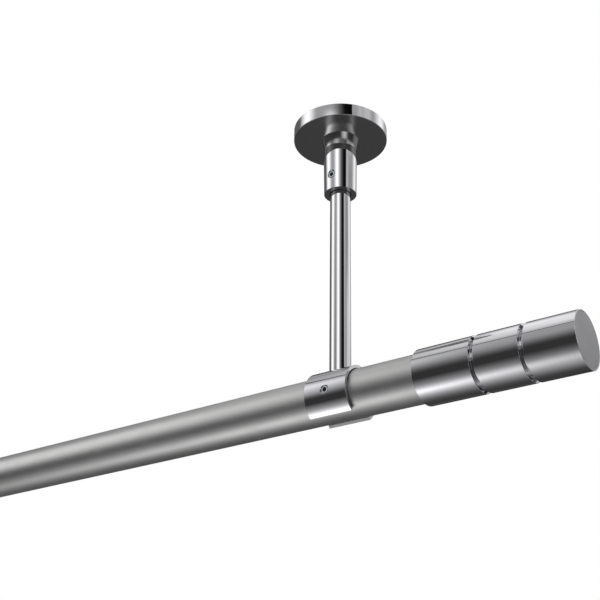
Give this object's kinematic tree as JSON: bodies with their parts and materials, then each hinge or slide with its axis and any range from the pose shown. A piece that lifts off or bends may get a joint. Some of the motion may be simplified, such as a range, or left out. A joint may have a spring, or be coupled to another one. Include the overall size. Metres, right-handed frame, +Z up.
{
  "type": "curtain rod",
  "caption": "Ceiling mounted curtain rod: a round satin tube hung in open saddles below chrome drop supports, with a grooved cylinder finial on each end.",
  "frame": {"origin": "on the ceiling plane, midway between the two ceiling flanges", "axes": "+X along the rod towards the end seen in the picture, -Y towards the room, +Z up into the ceiling"},
  "size_m": [1.3374, 0.06, 0.201],
  "materials": {
    "satin_rod": "satin anodised, brushed along its length",
    "chrome": "polished chrome plating",
    "satin_chrome": "half-polished chrome plating",
    "finial_chrome": "polished, with fine turning marks",
    "finial_end": "satin, turned",
    "zinc_plate": "zinc plated",
    "screw_steel": "plain hardened steel",
    "brass_insert": "turned",
    "black_plastic": "moulded, black"
  },
  "bodies": {
    "ceiling_supports": {"ceiling_plate_right": "zinc_plate", "flange_cover_right": "chrome", "flange_stud_right": "screw_steel", "boss_right": "chrome", "sleeve_right": "chrome", "ceiling_plate_left": "zinc_plate", "flange_cover_left": "chrome", "flange_stud_left": "screw_steel", "boss_left": "chrome", "sleeve_left": "chrome"},
    "hanger_right": {"hanger_right": "chrome", "hanger_insert_right": "brass_insert", "saddle_right": "satin_chrome", "saddle_liner_right": "black_plastic", "saddle_screw_right": "screw_steel"},
    "hanger_left": {"hanger_left": "chrome", "hanger_insert_left": "brass_insert", "saddle_left": "satin_chrome", "saddle_liner_left": "black_plastic", "saddle_screw_left": "screw_steel"},
    "rod": {"rod_tube": "satin_rod"},
    "sleeve_grub_right": {"sleeve_grub_right": "screw_steel"},
    "saddle_grub_right": {"saddle_grub_right": "screw_steel"},
    "finial_right": {"finial_body_right": "finial_chrome", "finial_cap_right": "finial_end", "finial_plug_right": "black_plastic", "finial_screw_right": "screw_steel"},
    "sleeve_grub_left": {"sleeve_grub_left": "screw_steel"},
    "saddle_grub_left": {"saddle_grub_left": "screw_steel"},
    "finial_left": {"finial_body_left": "finial_chrome", "finial_cap_left": "finial_end", "finial_plug_left": "black_plastic", "finial_screw_left": "screw_steel"}
  },
  "joints": [
    {"name": "height_right", "type": "slide", "parent": "ceiling_supports", "child": "hanger_right", "axis": [0, 0, 1], "range_m": [-0.005, 0.0015]},
    {"name": "height_left", "type": "slide", "parent": "ceiling_supports", "child": "hanger_left", "axis": [0, 0, 1], "range_m": [-0.005, 0.0015]},
    {"name": "rod_shift", "type": "slide", "parent": "hanger_right", "child": "rod", "axis": [1, 0, 0], "range_m": [-0.04, 0.04]},
    {"name": "finial_right_pull", "type": "slide", "parent": "rod", "child": "finial_right", "axis": [1, 0, 0], "range_m": [0, 0.04]},
    {"name": "sleeve_grub_right_turn", "type": "hinge", "parent": "ceiling_supports", "child": "sleeve_grub_right", "pos_m": [0.52, -0.0085, -0.0384], "axis": [0, -1, 0], "range_deg": [0, 360]},
    {"name": "saddle_grub_right_turn", "type": "hinge", "parent": "hanger_right", "child": "saddle_grub_right", "pos_m": [0.52, -0.015, -0.185], "axis": [0, -1, 0], "range_deg": [0, 360]},
    {"name": "finial_left_pull", "type": "slide", "parent": "rod", "child": "finial_left", "axis": [-1, 0, 0], "range_m": [0, 0.04]},
    {"name": "sleeve_grub_left_turn", "type": "hinge", "parent": "ceiling_supports", "child": "sleeve_grub_left", "pos_m": [-0.52, -0.0085, -0.0384], "axis": [0, -1, 0], "range_deg": [0, 360]},
    {"name": "saddle_grub_left_turn", "type": "hinge", "parent": "hanger_left", "child": "saddle_grub_left", "pos_m": [-0.52, -0.015, -0.185], "axis": [0, -1, 0], "range_deg": [0, 360]}
  ],
  "couplings": [
    {"joint": "height_left", "follows": "height_right", "ratio": 1}
  ]
}
